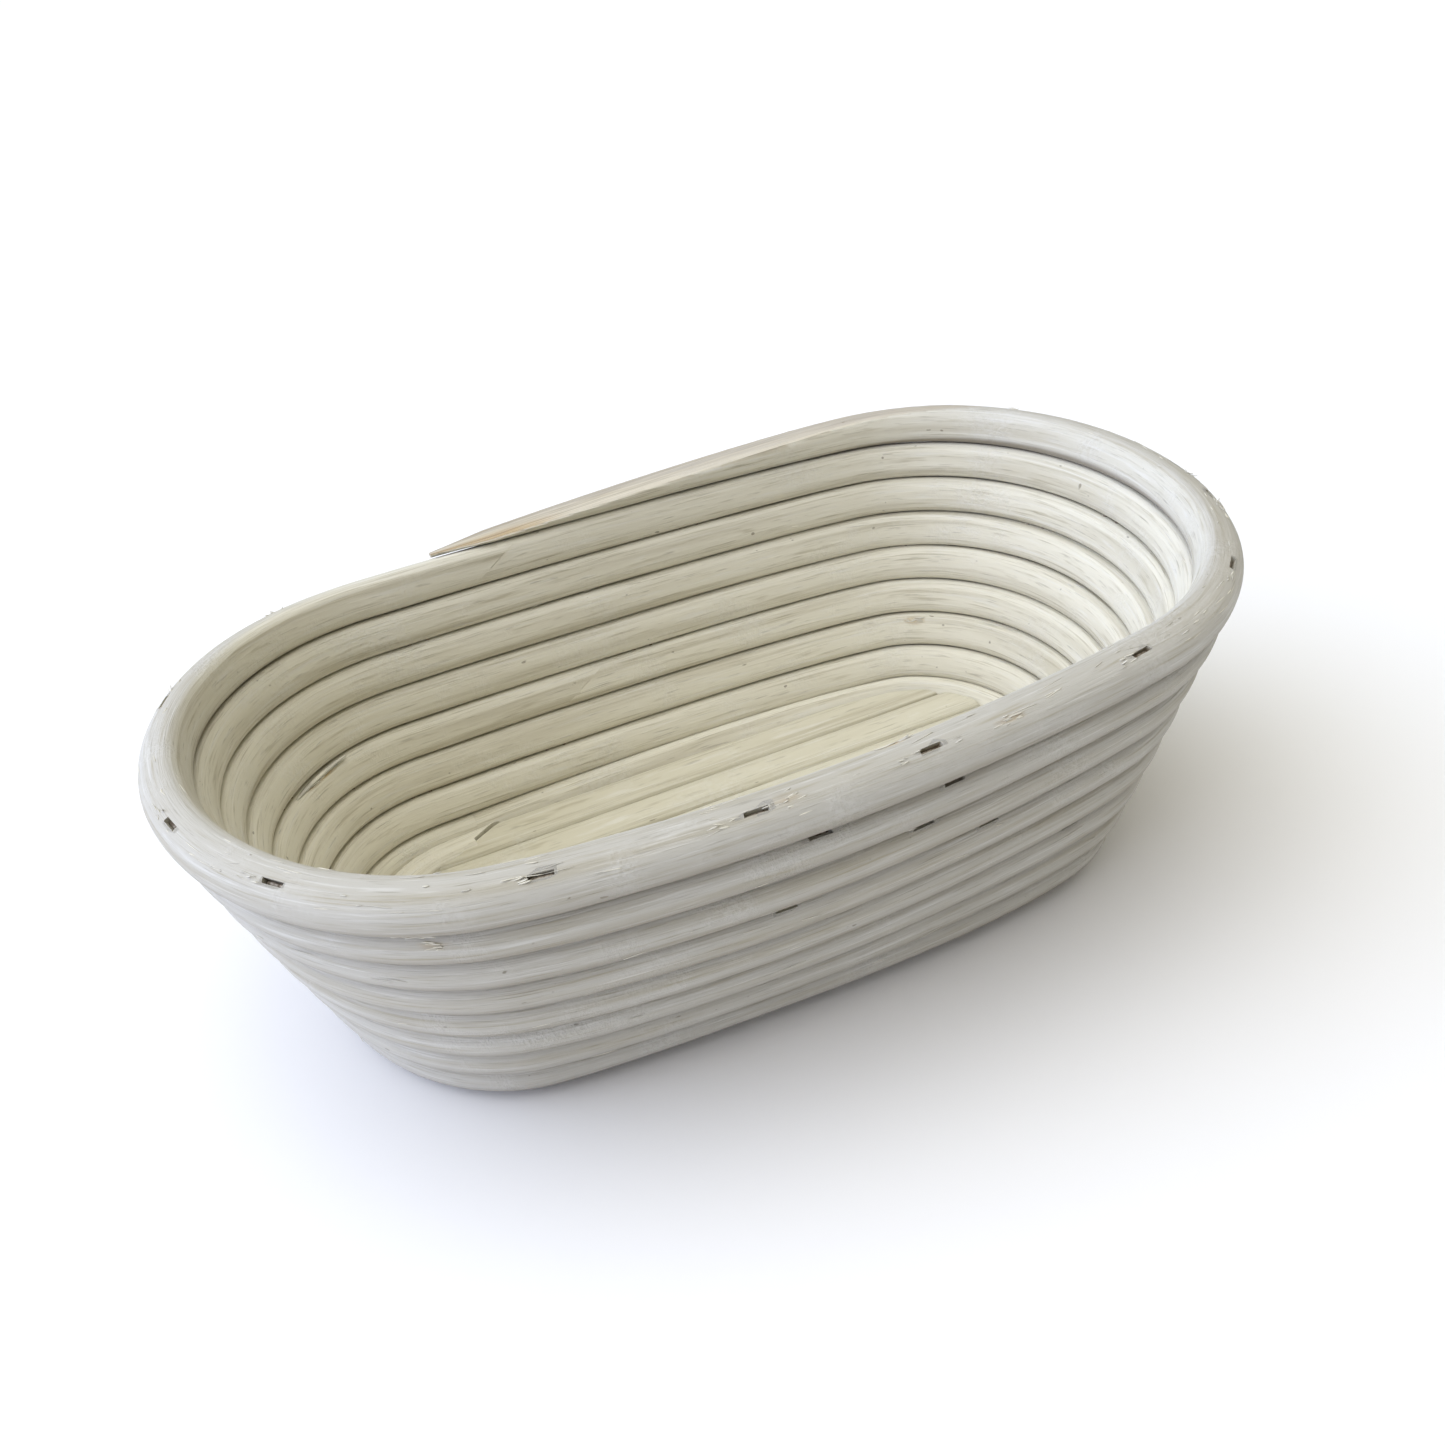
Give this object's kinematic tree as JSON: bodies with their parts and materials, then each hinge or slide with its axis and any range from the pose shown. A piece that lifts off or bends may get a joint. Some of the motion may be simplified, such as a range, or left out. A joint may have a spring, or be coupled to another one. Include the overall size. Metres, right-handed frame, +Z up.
{
  "type": "banneton basket",
  "caption": "Oval proofing basket of coiled round rattan cane, flour-dusted, with sloping ridged walls and a flat cane floor; shapes and supports bread dough while it rises.",
  "frame": {"origin": "centre of the overall box, at the level the basket stands on", "axes": "+X along the basket's length, +Y towards the side with the cane's tapered end, +Z up"},
  "size_m": [0.2486, 0.156, 0.0796],
  "materials": {
    "rattan": "matt round rattan cane, dusted with flour",
    "floor_rattan": "matt flattened rattan cane, yellower and less dusted",
    "staple": "dull flattened steel wire, slightly tarnished"
  },
  "bodies": {
    "root": {"rim_cane": "rattan", "upper_wall_cane": "rattan", "lower_wall_cane": "rattan", "floor_ring_cane": "rattan", "floor_cane_1": "floor_rattan", "floor_cane_2": "floor_rattan", "floor_cane_3": "floor_rattan", "floor_cane_4": "floor_rattan", "floor_cane_5": "floor_rattan", "floor_cane_6": "floor_rattan", "floor_cane_7": "floor_rattan", "rim_staple_1": "staple", "rim_staple_2": "staple", "rim_staple_3": "staple", "rim_staple_4": "staple", "rim_staple_5": "staple", "rim_staple_6": "staple", "rim_staple_7": "staple", "rim_staple_8": "staple", "rim_staple_9": "staple", "rim_staple_10": "staple", "rim_staple_11": "staple", "rim_staple_12": "staple", "wall_staple_1": "staple", "wall_staple_2": "staple", "wall_staple_3": "staple", "wall_staple_4": "staple", "wall_staple_5": "staple", "wall_staple_6": "staple", "wall_staple_7": "staple", "wall_staple_8": "staple", "wall_staple_9": "staple", "wall_staple_10": "staple", "wall_staple_11": "staple", "wall_staple_12": "staple", "wall_staple_13": "staple", "wall_staple_14": "staple", "wall_staple_15": "staple", "wall_staple_16": "staple", "wall_staple_17": "staple", "wall_staple_18": "staple", "wall_staple_19": "staple", "wall_staple_20": "staple", "wall_staple_21": "staple", "wall_staple_22": "staple", "wall_staple_23": "staple", "wall_staple_24": "staple", "wall_staple_25": "staple", "wall_staple_26": "staple", "wall_staple_27": "staple", "wall_staple_28": "staple"}
  },
  "joints": []
}
